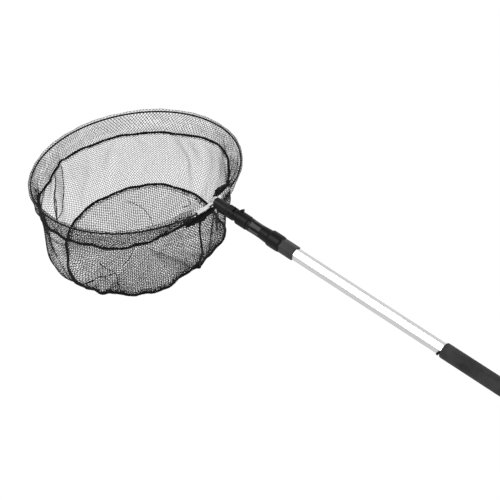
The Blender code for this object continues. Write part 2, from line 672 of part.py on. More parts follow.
def make_paint():
    return {
        "aluminium": make_material("anodised_aluminium", (0.86, 0.87, 0.87), 0.32, 1.0),
        "bright": make_material("bright_steel", (0.80, 0.80, 0.80), 0.22, 1.0),
        "steel": make_material("pin_steel", (0.55, 0.55, 0.56), 0.35, 1.0),
        "dark_steel": make_material("blackened_steel", (0.06, 0.06, 0.06), 0.4, 1.0),
        "collar": make_material("collar_plastic", (0.020, 0.020, 0.022), 0.38, 0.0),
        "plastic": make_material("sleeve_plastic", (0.016, 0.016, 0.018), 0.45, 0.0),
        "knuckle": make_material("knuckle_plastic", (0.045, 0.045, 0.048), 0.42, 0.0),
        "button": make_material("button_plastic", (0.014, 0.014, 0.015), 0.35, 0.0),
        "plug": make_material("plug_plastic", (0.05, 0.05, 0.05), 0.5, 0.0),
        "foam": make_material("grip_foam", (0.022, 0.022, 0.024), 0.8, 0.0),
        "wire": make_material("hoop_paint", (0.015, 0.015, 0.016), 0.4, 0.0),
        "mesh": make_material("net_mesh", (0.03, 0.03, 0.032), 0.85, 0.0),
        "binding": make_material("net_binding", (0.012, 0.012, 0.013), 0.8, 0.0),
    }


def build_landing_net():
    clear_scene()
    shop = Workshop()
    paint = make_paint()
    root = shop.empty("handle_frame", (0.0, 0.0, 0.0))
    mid = shop.empty("mid_section_frame", (station(MID_TUBE[0]), 0.0, 0.0))
    inner = shop.empty("inner_section_frame", (station(INNER_TUBE[0]), 0.0, 0.0))
    head = shop.empty("head_pivot", (station(PIN_STATION), 0.0, PIN_Z * MM))
    hub = Vector((station(0.0), 0.0, 0.0)) - head.location
    hoop_frame = shop.empty("hoop_frame", hub, parent=head, tilt=HOOP_TILT)
    build_outer_handle(shop, paint, root)
    build_mid_section(shop, paint, mid)
    button_frame = shop.empty("button_frame", (station(BUTTON_MIDDLE) - inner.location.x, 0.0, 0.0),
                              parent=inner, turn=BUTTON_TURN)
    build_inner_section(shop, paint, inner, button_frame)
    build_release_button(shop, paint, button_frame)
    build_knuckle(shop, paint, head, hoop_frame)
    build_bracket(shop, paint, hoop_frame)
    build_hoop(shop, paint, hoop_frame)
    build_bag(shop, paint, hoop_frame)


build_landing_net()
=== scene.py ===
"""The looks of the landing net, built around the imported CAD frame.

The net bag is real twine laid on a slack, folded surface, the seams are bound tapes with
overlock thread, and the handle's tubes, collars and grip get their fine shapes here.
"""
import math

import bmesh
import bpy
import numpy as np
from mathutils import Matrix, Vector


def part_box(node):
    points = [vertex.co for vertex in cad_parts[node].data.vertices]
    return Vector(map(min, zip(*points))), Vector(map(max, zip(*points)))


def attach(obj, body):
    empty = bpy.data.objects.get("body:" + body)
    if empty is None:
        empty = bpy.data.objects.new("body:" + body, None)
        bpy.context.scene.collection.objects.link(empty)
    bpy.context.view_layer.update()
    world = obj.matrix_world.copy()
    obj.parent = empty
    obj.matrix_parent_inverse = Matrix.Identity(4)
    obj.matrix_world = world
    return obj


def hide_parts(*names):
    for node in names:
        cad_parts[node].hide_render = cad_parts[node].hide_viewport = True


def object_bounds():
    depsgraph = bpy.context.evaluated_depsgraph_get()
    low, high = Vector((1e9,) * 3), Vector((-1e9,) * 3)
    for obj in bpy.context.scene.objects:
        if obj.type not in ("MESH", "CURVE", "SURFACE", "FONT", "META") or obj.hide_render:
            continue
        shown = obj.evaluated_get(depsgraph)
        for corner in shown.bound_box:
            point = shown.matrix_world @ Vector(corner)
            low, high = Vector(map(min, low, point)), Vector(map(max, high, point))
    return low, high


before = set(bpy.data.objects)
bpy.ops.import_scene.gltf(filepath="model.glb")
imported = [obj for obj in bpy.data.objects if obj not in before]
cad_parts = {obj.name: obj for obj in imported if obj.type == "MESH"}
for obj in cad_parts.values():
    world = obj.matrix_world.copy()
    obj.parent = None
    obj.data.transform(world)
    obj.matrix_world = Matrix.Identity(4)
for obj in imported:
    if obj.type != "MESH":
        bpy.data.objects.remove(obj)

CAD_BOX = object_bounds()
RNG = np.random.default_rng(7)
MM = 0.001
TAU = 2.0 * math.pi

HOOP_TILT = math.radians(14.1)  # the hoop's plane against the handle


# ---------------------------------------------------------------- frame of the hoop

def node_points(name):
    """The corner points of a CAD node."""
    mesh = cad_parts[name].data
    points = np.zeros(len(mesh.vertices) * 3)
    mesh.vertices.foreach_get("co", points)
    return points.reshape(-1, 3)


def hoop_axes():
    """The hoop's own axes in the row frame: x towards the handle, z out of the mouth."""
    cos, sin = math.cos(HOOP_TILT), math.sin(HOOP_TILT)
    return np.array([[cos, 0.0, sin], [0.0, 1.0, 0.0], [-sin, 0.0, cos]])


AXES = hoop_axes()
WIRE_LOW, WIRE_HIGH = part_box("hoop_wire")
HOOP_CENTRE = np.array((WIRE_LOW + WIRE_HIGH) / 2.0)


def to_world(local):
    """Points in the hoop's axes, moved to the row frame."""
    return HOOP_CENTRE + local @ AXES


def to_hoop(points):
    """Points of the row frame, moved to the hoop's axes."""
    return (points - HOOP_CENTRE) @ AXES.T


def fitted_ring(node):
    """Centre, radius and slopes of a bound seam, measured on its CAD ring."""
    local = to_hoop(node_points(node))
    centre = (local.max(0) + local.min(0)) / 2.0
    reach = local - centre
    radius = np.hypot(reach[:, 0], reach[:, 1]).mean()
    flat = np.c_[reach[:, :2], np.ones(len(reach))]
    slope_x, slope_y, height = np.linalg.lstsq(flat, local[:, 2], rcond=None)[0]
    return {"x": centre[0], "y": centre[1], "z": height, "r": radius, "sx": slope_x, "sy": slope_y}


WIRE_R = 1.5 * MM
HOOP_R = (WIRE_HIGH.y - WIRE_LOW.y) / 2.0 - WIRE_R
RIM = {"x": 0.0, "y": 0.0, "z": 0.0, "r": HOOP_R, "sx": 0.0, "sy": 0.0}
UPPER = fitted_ring("upper_seam")
LOWER = fitted_ring("lower_seam")


def ring_points(ring, angle, outward=0.0, lift=0.0):
    """Points of a ring, moved outward and up, in the hoop's axes."""
    x = (ring["r"] + outward) * np.cos(angle)
    y = (ring["r"] + outward) * np.sin(angle)
    z = ring["z"] + ring["sx"] * x + ring["sy"] * y + lift
    return np.stack([ring["x"] + x, ring["y"] + y, z], -1)


# ---------------------------------------------------------------- materials

def new_material(name):
    """A material with its node tree's parts."""
    material = bpy.data.materials.new(name)
    material.use_nodes = True
    nodes = material.node_tree.nodes
    shader = nodes["Principled BSDF"]
    return material, nodes, material.node_tree.links, shader


def noise_node(nodes, links, scale, detail, stretch=(1.0, 1.0, 1.0)):
    """Noise fixed to the object's own coordinates."""
    place = nodes.new("ShaderNodeTexCoord")
    mapping = nodes.new("ShaderNodeMapping")
    mapping.inputs["Scale"].default_value = stretch
    noise = nodes.new("ShaderNodeTexNoise")
    noise.inputs["Scale"].default_value = scale
    noise.inputs["Detail"].default_value = detail
    links.new(place.outputs["Object"], mapping.inputs["Vector"])
    links.new(mapping.outputs["Vector"], noise.inputs["Vector"])
    return noise


def colour_range(nodes, links, factor, dark, light):
    """A colour between dark and light that follows a factor."""
    ramp = nodes.new("ShaderNodeValToRGB")
    ramp.color_ramp.elements[0].position = 0.3
    ramp.color_ramp.elements[0].color = (*dark, 1.0)
    ramp.color_ramp.elements[1].position = 0.7
    ramp.color_ramp.elements[1].color = (*light, 1.0)
    links.new(factor, ramp.inputs["Fac"])
    return ramp.outputs["Color"]


def value_range(nodes, links, factor, low, high):
    """A value between low and high that follows a factor."""
    span = nodes.new("ShaderNodeMapRange")
    span.inputs["To Min"].default_value = low
    span.inputs["To Max"].default_value = high
    links.new(factor, span.inputs["Value"])
    return span.outputs["Result"]


def add_bump(nodes, links, shader, height, strength, distance):
    bump = nodes.new("ShaderNodeBump")
    bump.inputs["Strength"].default_value = strength
    bump.inputs["Distance"].default_value = distance
    links.new(height, bump.inputs["Height"])
    links.new(bump.outputs["Normal"], shader.inputs["Normal"])


def moulded_plastic(name, dark, light, roughness, grain=900.0):
    """Satin black plastic with fine moulded grain and slight colour variation."""
    material, nodes, links, shader = new_material(name)
    shader.inputs["Specular IOR Level"].default_value = 0.14
    broad = noise_node(nodes, links, 45.0, 3.0).outputs["Fac"]
    fine = noise_node(nodes, links, grain, 2.0).outputs["Fac"]
    rough = value_range(nodes, links, broad, roughness - 0.06, roughness + 0.08)
    links.new(colour_range(nodes, links, broad, dark, light), shader.inputs["Base Color"])
    links.new(rough, shader.inputs["Roughness"])
    add_bump(nodes, links, shader, fine, 0.25, 0.0002)
    return material


def drawn_metal(name, dark, light, roughness, stretch):
    """Metal with fine draw lines along one direction."""
    material, nodes, links, shader = new_material(name)
    shader.inputs["Metallic"].default_value = 1.0
    lines = noise_node(nodes, links, 700.0, 3.0, stretch).outputs["Fac"]
    cloud = noise_node(nodes, links, 14.0, 3.0).outputs["Fac"]
    rough = value_range(nodes, links, lines, roughness - 0.07, roughness + 0.09)
    links.new(colour_range(nodes, links, cloud, dark, light), shader.inputs["Base Color"])
    links.new(rough, shader.inputs["Roughness"])
    add_bump(nodes, links, shader, lines, 0.12, 0.0001)
    return material


def textile(name, dark, light, roughness=0.82):
    """Matt black fibre with a slight uneven tone."""
    material, nodes, links, shader = new_material(name)
    shader.inputs["Sheen Weight"].default_value = 0.04
    shader.inputs["Specular IOR Level"].default_value = 0.12
    shader.inputs["Roughness"].default_value = roughness
    fibre = noise_node(nodes, links, 160.0, 4.0).outputs["Fac"]
    links.new(colour_range(nodes, links, fibre, dark, light), shader.inputs["Base Color"])
    return material


ALONG_TUBE = (0.02, 1.0, 1.0)  # stretch of the draw lines, x y z
ACROSS = (1.0, 0.05, 1.0)

PAINT = {
    "tube": drawn_metal("anodised_tube", (0.55, 0.555, 0.55), (0.61, 0.615, 0.605), 0.30, ALONG_TUBE),
    "bright": drawn_metal("bright_strip", (0.62, 0.62, 0.62), (0.86, 0.86, 0.85), 0.22, ACROSS),
    "pin": drawn_metal("pin_metal", (0.42, 0.42, 0.43), (0.60, 0.60, 0.60), 0.34, ACROSS),
    "dark_pin": drawn_metal("blackened_pin", (0.03, 0.03, 0.03), (0.06, 0.06, 0.06), 0.40, ACROSS),
    "collar": moulded_plastic("collar_black", (0.004, 0.004, 0.004), (0.009, 0.009, 0.009), 0.40),
    # The next two are lighter copies of the collars' black plastic: a painted highlight for the flats
    # that catch the light.
    "panel_highlight": moulded_plastic("collar_panel_painted_highlight", (0.045, 0.045, 0.045), (0.070, 0.070, 0.070), 0.45),
    "skirt_highlight": moulded_plastic("collar_skirt_painted_highlight", (0.022, 0.022, 0.022), (0.042, 0.042, 0.042), 0.42),
    "sleeve": moulded_plastic("sleeve_black", (0.005, 0.005, 0.005), (0.010, 0.010, 0.010), 0.44),
    "knuckle": moulded_plastic("knuckle_black", (0.009, 0.009, 0.010), (0.016, 0.016, 0.017), 0.40),
    "button": moulded_plastic("button_black", (0.008, 0.008, 0.009), (0.016, 0.016, 0.017), 0.33),
    "plug": moulded_plastic("plug_grey", (0.035, 0.035, 0.036), (0.060, 0.060, 0.060), 0.50),
    "foam": moulded_plastic("grip_black", (0.018, 0.018, 0.019), (0.042, 0.042, 0.043), 0.58, 1500.0),
    "hoop": moulded_plastic("hoop_coat", (0.008, 0.008, 0.009), (0.016, 0.016, 0.017), 0.38),
    "twine": textile("net_twine", (0.006, 0.006, 0.006), (0.016, 0.016, 0.017)),
    "tape": textile("seam_tape", (0.003, 0.003, 0.003), (0.008, 0.008, 0.008)),
    "thread": textile("overlock_thread", (0.005, 0.005, 0.005), (0.014, 0.014, 0.015), 0.6),
}


# ---------------------------------------------------------------- mesh helpers

def mesh_object(name, points, faces, material, body, replaced=(), uvs=None):
    """A smooth object of triangles or quads, riding on a body of the frame."""
    mesh = bpy.data.meshes.new(name)
    faces = np.asarray(faces, np.int32)
    corners = faces.shape[1]
    mesh.vertices.add(len(points))
    mesh.vertices.foreach_set("co", np.asarray(points, np.float32).ravel())
    mesh.loops.add(faces.size)
    mesh.loops.foreach_set("vertex_index", faces.ravel())
    mesh.polygons.add(len(faces))
    mesh.polygons.foreach_set("loop_start", np.arange(len(faces), dtype=np.int32) * corners)
    if uvs is not None:
        layer = mesh.uv_layers.new(name="OFBake")
        layer.data.foreach_set("uv", np.asarray(uvs, np.float32)[faces.ravel()].ravel())
    mesh.update(calc_edges=True)
    mesh.polygons.foreach_set("use_smooth", np.full(len(faces), True))
    obj = bpy.data.objects.new(name, mesh)
    bpy.context.scene.collection.objects.link(obj)
    mesh.materials.append(material)
    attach(obj, body)
    if replaced:
        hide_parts(*replaced)
    return obj


def grid_faces(rows, columns, close_rows=False, close_columns=False):
    """Quads of a grid of points stored row by row."""
    row = np.arange(rows if close_rows else rows - 1)
    column = np.arange(columns if close_columns else columns - 1)
    r, c = np.meshgrid(row, column, indexing="ij")
    following_r = (r + 1) % rows
    following_c = (c + 1) % columns
    quads = np.stack([r * columns + c, following_r * columns + c,
                      following_r * columns + following_c, r * columns + following_c], -1)
    return quads.reshape(-1, 4)


def unit(vectors):
    """The same directions at length 1."""
    return vectors / np.maximum(np.linalg.norm(vectors, axis=-1), 1e-12)[..., None]


def sweep(path, radius, sides, closed, up=None, flatten=1.0):
    """Points and quads of a tube along a path; radius may vary along and around it."""
    count = len(path)
    if closed:
        tangent = unit(np.roll(path, -1, 0) - np.roll(path, 1, 0))
    else:
        tangent = unit(np.gradient(path, axis=0))
    side = unit(np.cross(tangent, np.broadcast_to(AXES[2] if up is None else up, path.shape)))
    top = np.cross(side, tangent)
    turn = np.arange(sides) * TAU / sides
    size = np.asarray(radius)
    size = np.broadcast_to(size[:, None] if size.ndim == 1 else size, (count, sides))
    points = (path[:, None] + side[:, None] * (np.cos(turn) * size)[..., None]
              + top[:, None] * (np.sin(turn) * size * flatten)[..., None])
    points = points.reshape(-1, 3)
    faces = grid_faces(count, sides, close_rows=closed, close_columns=True)
    return (points, faces) if closed else with_end_caps(points, faces, count, sides)


def with_end_caps(points, faces, count, sides):
    """The swept tube with a fan of faces over each of its two ends."""
    caps = []
    for first, order in ((0, [0, 1, 2, 3]), ((count - 1) * sides, [1, 0, 2, 3])):
        middle = np.full(sides, len(points))
        points = np.vstack([points, points[first:first + sides].mean(0)])
        loop = first + np.arange(sides)
        following = first + (np.arange(sides) + 1) % sides
        caps.append(np.stack([loop, following, middle, middle], -1)[:, order])
    return points, np.vstack([faces] + caps)


def clean(obj):
    """Turns repeated corners into true triangles, and points the faces outward."""
    bm = bmesh.new()
    bm.from_mesh(obj.data)
    bmesh.ops.remove_doubles(bm, verts=bm.verts, dist=1e-6)
    bmesh.ops.dissolve_degenerate(bm, dist=1e-7, edges=bm.edges)
    bmesh.ops.recalc_face_normals(bm, faces=bm.faces)
    bm.to_mesh(obj.data)
    bm.free()
    obj.data.polygons.foreach_set("use_smooth", np.full(len(obj.data.polygons), True))
    obj.data.update()


# ---------------------------------------------------------------- surface of the bag

def ripple(angle, terms):
    """A smooth uneven wave round the bag: (waves round it, size, start) terms."""
    return sum(size * np.sin(waves * angle + start) for waves, size, start in terms)


RIM_WAVES = ((5, 0.6, 0.4), (11, 0.5, 2.0), (23, 0.5, 1.1), (37, 0.4, 0.3))
BAND_WAVES = ((4, 1.2, 1.0), (9, 1.0, 0.2), (17, 0.9, 2.6), (29, 0.6, 0.9))
WALL_WAVES = ((3, 1.8, 2.2), (7, 1.9, 0.7), (13, 1.5, 1.9), (21, 0.9, 0.4), (31, 0.5, 2.8))
BASE_WAVES = ((4, 2.0, 0.3), (6, 1.6, 2.0), (9, 1.0, 1.2))
SEAM_WAVES = ((6, 0.8, 0.5), (13, 0.7, 1.7), (27, 0.5, 0.6))


def near(angle, at, width):
    """A soft bump round the bag, 1 at the given angle; all in radians."""
    return np.exp(-(np.angle(np.exp(1j * (angle - at))) / width) ** 2)


def near_degrees(angle, at, width):
    """The same bump, with its place and its width given in degrees."""
    return near(angle, math.radians(at), math.radians(width))


def swell_out(points, angle, amount):
    """The points moved straight out from the bag's middle."""
    out = np.stack([np.cos(angle), np.sin(angle), np.zeros_like(angle)], -1)
    return points + out * amount[..., None]


def blend(first, second, share):
    """Points between two lines, share 0 on the first and 1 on the second."""
    return first * (1.0 - share[..., None]) + second * share[..., None]


# Where a seam leaves its even ring: angle and width in degrees, then outward and upward in mm
UPPER_PULLS = (
    (-4.0, 12.0, 18.0, 15.0),
    (13.0, 10.0, -2.0, 17.0),
    (334.0, 12.0, 1.0, 7.0),
    (303.0, 17.0, 0.0, -5.0),
    (118.0, 22.0, -6.0, -1.5),
    (72.0, 16.0, 5.0, 2.0),
    (200.0, 13.0, -7.0, 1.0),
    (184.0, 3.0, 3.0, 2.5),
    (204.0, 4.0, -4.0, 1.5),
    (215.0, 4.0, 2.5, -2.0),
)
LOWER_PULLS = (
    (-11.0, 11.0, 2.0, 8.0),
    (36.0, 13.0, 17.0, 3.0),
    (228.0, 9.0, -5.0, 2.0),
    (258.0, 11.0, 1.0, -7.0),
    (283.0, 5.0, 2.0, -2.5),
    (296.0, 4.0, -1.0, 3.0),
)


def seam_path(ring, angle):
    """The wavy line that a bound seam follows, drawn up to the hub and slack elsewhere."""
    out = ripple(angle, SEAM_WAVES)
    lift = ripple(angle + 1.3, SEAM_WAVES) * 1.3
    for at, width, pull_out, pull_up in UPPER_PULLS if ring is UPPER else LOWER_PULLS:
        pull = near(angle, math.radians(at), math.radians(width))
        out = out + pull_out * pull
        lift = lift + pull_up * pull
    return ring_points(ring, angle, out * MM, lift * MM)


# Places round the bag, as angle and width in degrees
OVER_ARM = (8.0, 6.0)        # the mesh passes over the bracket's arm
LOOSE_FOLD = (340.0, 15.0)   # the mesh stands slack over the wire
BESIDE_HUB = (12.0, 9.0)     # the band is pushed out beside the hub
TAUT_WALL = (24.0, 24.0)     # the wall is drawn straight
WALL_BELLY = (242.0, 30.0)   # the wall hangs full near its foot
BASE_BELLY = (248.0, 24.0)   # the bottom hangs full beside the lower seam

FOLD_SHARE = 0.10            # share of the band's height that turns over the wire
FOLD_HEIGHT_MM = 5.4         # above the wire's middle
FOLD_HALF_WIDTH_MM = 3.7
LAYER_GAP_MM = 1.2           # how far each layer stands from the band's middle


def band_surface(angle, share, layer):
    """The folded band: share 0 at the top of the wire, 1 at the upper seam; layer +1 is outside."""
    over_arm = near_degrees(angle, *OVER_ARM)
    loose = near_degrees(angle, *LOOSE_FOLD)
    height = FOLD_HEIGHT_MM + 1.2 * over_arm + 7.5 * loose
    half_width = layer * (FOLD_HALF_WIDTH_MM + 1.0 * over_arm) - 4.0 * loose
    around = (1.0 - np.clip(share / FOLD_SHARE, 0.0, 1.0)) * math.pi / 2.0
    rim_out = half_width * np.cos(around) + 0.5 * ripple(angle, RIM_WAVES)
    rim_lift = height * np.sin(around) + 0.6 * ripple(angle + 0.7, RIM_WAVES)
    rim = ring_points(RIM, angle, rim_out * MM, rim_lift * MM)
    down = np.clip((share - FOLD_SHARE) / (1.0 - FOLD_SHARE), 0.0, 1.0)
    point = blend(rim, seam_path(UPPER, angle), down)
    pushed = 9.0 * near_degrees(angle, *BESIDE_HUB) * (layer > 0)
    slack = ripple(angle + 0.25 * down, BAND_WAVES) + layer * LAYER_GAP_MM + pushed
    return swell_out(point, angle, np.sin(math.pi * down) * slack * MM)


FOLDS = (  # size in mm, angle in degrees, then lean and width in radians
    (-7.0, 205.0, 0.30, 0.045),
    (5.0, 214.0, 0.22, 0.05),
    (-5.0, 228.0, -0.25, 0.05),
    (4.0, 262.0, 0.35, 0.06),
    (-4.5, 300.0, -0.30, 0.06),
    (-5.0, 345.0, 0.15, 0.05),
    (4.0, 40.0, 0.25, 0.06),
    (-4.5, 95.0, -0.30, 0.06),
    (4.5, 150.0, 0.20, 0.05),
)
WALL_SWELL_MM = 11.0         # how far the wall stands out all round
WALL_BELLY_MM = 11.0         # how much further at its fullest place


def fold_line(angle, share, size, at, lean, width):
    """A single fold that leans round the bag, at its full size on its crest."""
    return size * near(angle, math.radians(at) + lean * (share - 0.5), width)


def wall_surface(angle, share):
    """The bag's wall from the upper seam to the lower one, slack and folded."""
    point = blend(seam_path(UPPER, angle), seam_path(LOWER, angle), share)
    swell = WALL_SWELL_MM * np.sin(math.pi * np.clip(share, 0.0, 1.0) ** 1.3)
    swell = swell * (1.0 - 0.9 * near_degrees(angle, *TAUT_WALL))
    belly = WALL_BELLY_MM * near_degrees(angle, *WALL_BELLY) * np.sin(math.pi * share ** 3.2)
    slack = np.sin(math.pi * share) ** 0.8 * ripple(angle + 0.15 * np.sin(4.0 * share), WALL_WAVES)
    folds = sum(fold_line(angle, share, *fold) for fold in FOLDS) * np.sin(math.pi * share) ** 0.6
    return swell_out(point, angle, (swell + belly + slack + folds) * MM)


BASE_SAG_MM = 12.0
BASE_BELLY_DOWN_MM = 9.0
BASE_BELLY_OUT_MM = 14.0
BASE_BELLY_START = 0.45      # share of the way out at which the fullness begins


def base_surface(x, y):
    """The sagging bottom; x and y run from -1 to 1 across it."""
    reach = np.hypot(x, y)
    angle = np.arctan2(y, x)
    middle = ring_points(dict(LOWER, r=0.0), angle)
    point = blend(middle, seam_path(LOWER, angle), reach)
    sag = BASE_SAG_MM * np.cos(math.pi / 2.0 * reach)
    wrinkle = ripple(angle, BASE_WAVES) * reach * (1.0 - reach) * 3.0
    cross = 1.2 * np.sin(9.0 * x + 2.0 * y) * (1.0 - reach ** 2)
    outer = np.clip((reach - BASE_BELLY_START) / (1.0 - BASE_BELLY_START), 0.0, 1.0)
    belly = near_degrees(angle, *BASE_BELLY) * np.sin(math.pi * outer ** 2.6)
    point[..., 2] -= (sag + wrinkle + cross + BASE_BELLY_DOWN_MM * belly) * MM
    return swell_out(point, angle, BASE_BELLY_OUT_MM * belly * MM)


# ---------------------------------------------------------------- knotless netting

MESH_WIDE = 5.3 * MM       # width of a diamond, round the bag
MESH_TALL = 2.65 * MM      # half its height
BAND_MESH_WIDE = 6.2 * MM  # the band is stretched wider over the wire
JOINT_SWELL = 1.4          # thickness of a joint against its twine
TWINE_BOW = 0.18 * MM
TWINE_SIDES = 3
TWINE_STATIONS = (  # share along the twine, thickness against its middle, share of the bow
    (-0.08, 0.55 * JOINT_SWELL, 0.0),
    (0.10, JOINT_SWELL, 0.4),
    (0.50, 1.0, 1.0),
    (0.90, JOINT_SWELL, 0.4),
    (1.08, 0.55 * JOINT_SWELL, 0.0),
)


def twine(joints, edges, normals, bow, radius):
    """Thin twines between joints, thick at each end and bowed a little sideways."""
    start, stop = joints[edges[:, 0]], joints[edges[:, 1]]
    along = unit(stop - start)
    side = unit(np.cross(along, normals[edges[:, 0]]))
    normal = np.cross(side, along)
    turns = math.pi / 2.0 + np.arange(TWINE_SIDES) * TAU / TWINE_SIDES
    rings = []
    for share, thickness, bend in TWINE_STATIONS:
        size = radius * thickness
        centre = start * (1.0 - share) + stop * share + side * (bow * bend)[:, None]
        ring = [centre + side * math.cos(turn) * size + normal * math.sin(turn) * size for turn in turns]
        rings.append(np.stack(ring, 1))
    points = np.stack(rings, 1)
    quads = grid_faces(len(TWINE_STATIONS), TWINE_SIDES, close_columns=True)
    first = np.arange(len(edges)) * len(TWINE_STATIONS) * TWINE_SIDES
    faces = (quads[None] + first[:, None, None]).reshape(-1, 4)
    return points.reshape(-1, 3), faces


def surface_normals(surface, u, v):
    """Unit normals of a surface, from small steps across and down it."""
    step = 1e-3
    across = surface(u + step, v) - surface(u - step, v)
    down = surface(u, np.clip(v + step, 0.0, 1.0)) - surface(u, np.clip(v - step, 0.0, 1.0))
    return unit(np.cross(across, down))


def diamond_edges(column, row, closed):
    """The net's twines as pairs of joints, and the sideways bow of each."""
    columns, levels = column.shape
    index = np.arange(columns * levels).reshape(columns, levels)
    above = index[:, :-1].ravel()
    below = index[:, 1:].ravel()
    shifted = column[:, :-1] + np.where(row[:, :-1] % 2 == 0, -1, 1)
    beside = index[shifted % columns, row[:, 1:]].ravel()
    inside = ((shifted >= 0) & (shifted < columns)).ravel() | closed
    first = np.stack([above, below], -1)
    second = np.stack([above, beside], -1)[inside]
    bows = np.repeat([TWINE_BOW, -TWINE_BOW], [len(first), len(second)])
    return np.vstack([first, second]), bows


def twine_uvs(flat, edges):
    """A tiny patch for each twine, at its own place on the flat sheet."""
    corners = len(TWINE_STATIONS) * TWINE_SIDES
    middle = (flat[edges[:, 0]] + flat[edges[:, 1]]) / 2.0
    patch = np.linspace(0.0, 0.002, corners)[:, None]
    return np.repeat(middle, corners, axis=0) * 0.98 + np.tile(patch, (len(edges), 2))


def netting(name, surface, columns, rows, closed, replaced=(), keep=None, jitter=0.0625, radius_mm=0.32):
    """Knotless mesh over surface(share across, share down); jitter is in columns."""
    column, row = np.meshgrid(np.arange(columns), np.arange(rows + 1), indexing="ij")
    u = (column + 0.5 * (row % 2)) / columns
    u = u + RNG.normal(0.0, jitter / columns, u.shape)
    v = row / rows
    joints = to_world(surface(u, v).reshape(-1, 3))
    normals = surface_normals(surface, u, v).reshape(-1, 3) @ AXES
    edges, bows = diamond_edges(column, row, closed)
    if keep is not None:
        chosen = keep(u.ravel(), v.ravel())[edges].all(axis=1)
        edges, bows = edges[chosen], bows[chosen]
    points, faces = twine(joints, edges, normals, bows, radius_mm * MM)
    uvs = twine_uvs(np.stack([u.ravel() % 1.0, v.ravel()], -1), edges)
    mesh_object(name, points, faces, PAINT["twine"], "head", replaced, uvs)


GAP_FAR = math.radians(4.6)      # the band's ends beside the hub
GAP_NEAR = math.radians(13.4)
GAP = GAP_FAR + GAP_NEAR
BAND_ROWS = 14
BAND_TWINE_MM = 0.27
WALL_R = 0.165                   # mean radius and height of the wall, which set its count of diamonds
WALL_HEIGHT = 0.118


def build_band():
    """Two layers of mesh from the fold over the wire down to the upper seam."""
    columns = int(TAU * HOOP_R / BAND_MESH_WIDE)

    def layer_surface(layer, shift):
        def surface(u, v):
            return band_surface(GAP_FAR + (TAU - GAP) * (u + shift), v, layer)
        return surface

    outer = layer_surface(1.0, 0.0)
    inner = layer_surface(-1.0, 0.4 / columns)
    netting("band_outer", outer, columns, BAND_ROWS, False, ("net_band",), radius_mm=BAND_TWINE_MM)
    netting("band_inner", inner, columns, BAND_ROWS, False, radius_mm=BAND_TWINE_MM)


def build_wall():
    """The wall's mesh, in three parts that meet at shared joints."""
    columns = int(TAU * WALL_R / MESH_WIDE)
    rows = int(WALL_HEIGHT / MESH_TALL)

    def part(first, last):
        def surface(u, v):
            return wall_surface(u * TAU, first + (last - first) * v)
        return surface

    cuts = [2 * round(rows * third / 6.0) for third in range(4)]
    for name, top, foot in zip(("wall_upper", "wall_middle", "wall_lower"), cuts, cuts[1:]):
        netting(name, part(top / rows, foot / rows), columns, foot - top, True, ("net_wall",))


def build_base():
    """The bottom's stronger mesh, cut round."""
    span = 2.0 * LOWER["r"]
    columns = int(span / MESH_WIDE)
    rows = int(span / MESH_TALL)

    def surface(u, v):
        return base_surface(2.0 * u - 1.0, 2.0 * v - 1.0)

    def keep(u, v):
        return np.hypot(2.0 * u - 1.0, 2.0 * v - 1.0) < 1.0

    netting("base_mesh", surface, columns, rows, False, ("net_base",), keep, radius_mm=0.50)


def build_hub_panel():
    """The single layer below the bracket, from its lower edge to the upper seam."""
    columns = int(GAP * HOOP_R / MESH_WIDE) + 4

    def surface(u, v):
        return band_surface(-GAP_NEAR * 1.1 + GAP * 1.2 * u, 0.36 + 0.64 * v, -1.0)

    netting("hub_panel", surface, columns, 10, False, ("net_hub_panel",))


# ---------------------------------------------------------------- bound seams

TAPE_STEPS, TAPE_SIDES = 900, 14
THREAD_TURNS, THREAD_STEPS = 330, 12
THREAD_R = 0.24 * MM


def bound_tape(path, angle, thick):
    """The tape's points and faces: uneven round the bag, with the thread's fine waves."""
    turn = np.arange(TAPE_SIDES) * TAU / TAPE_SIDES
    uneven = ripple(angle, ((61.0, 0.10, 0.0), (23.0, 0.10, 1.0), (139.0, 0.07, 0.0)))
    waves = 0.10 * np.sin(angle * 170.0)[:, None] * np.cos(turn) ** 2
    return sweep(path, thick * (1.0 + uneven[:, None] + waves), TAPE_SIDES, True, flatten=1.15)


def overlock_thread(ring, thick):
    """The thread's points and faces, wound round the tape."""
    share = np.arange(THREAD_TURNS * THREAD_STEPS) / (THREAD_TURNS * THREAD_STEPS)
    angle = share * TAU
    wind = angle * THREAD_TURNS
    out = np.stack([np.cos(angle), np.sin(angle), np.zeros_like(angle)], -1) @ AXES
    across = out * np.cos(wind)[:, None] + AXES[2] * np.sin(wind)[:, None] * 1.12
    helix = to_world(seam_path(ring, angle)) + across * (thick + 0.3 * MM)
    return sweep(helix, THREAD_R, 4, True, up=out)


def build_seam(name, ring, node, thick):
    """A bound tape round the bag with an overlock thread wound over it."""
    angle = np.arange(TAPE_STEPS) * TAU / TAPE_STEPS
    points, faces = bound_tape(to_world(seam_path(ring, angle)), angle, thick)
    mesh_object(name, points, faces, PAINT["tape"], "head", (node,))
    points, faces = overlock_thread(ring, thick)
    mesh_object(name + "_thread", points, faces, PAINT["thread"], "head")


def build_upper_raw_edge():
    """The raw edge of the wall's mesh, left inside the bag below the upper seam."""
    columns = int(TAU * UPPER["r"] / MESH_WIDE)

    def surface(u, v):
        angle = u * TAU
        loose = (1.2 + 0.8 * np.sin(angle * 19.0)) * MM
        return swell_out(wall_surface(angle, 0.045 * v), angle, -loose)

    netting("upper_raw_edge", surface, columns, 2, True, jitter=0.3, radius_mm=0.22)


def build_lower_raw_edge():
    """The raw edge of the bottom's mesh, turned in beside the lower seam."""
    columns = int(TAU * LOWER["r"] / (MESH_WIDE * 0.8))

    def surface(u, v):
        angle = u * TAU
        reach = 1.0 - 0.065 * v
        point = base_surface(reach * np.cos(angle), reach * np.sin(angle))
        point[..., 2] += (1.0 + 0.6 * np.sin(angle * 23.0)) * MM
        return point

    netting("lower_raw_edge", surface, columns, 4, True, jitter=0.45, radius_mm=0.34)


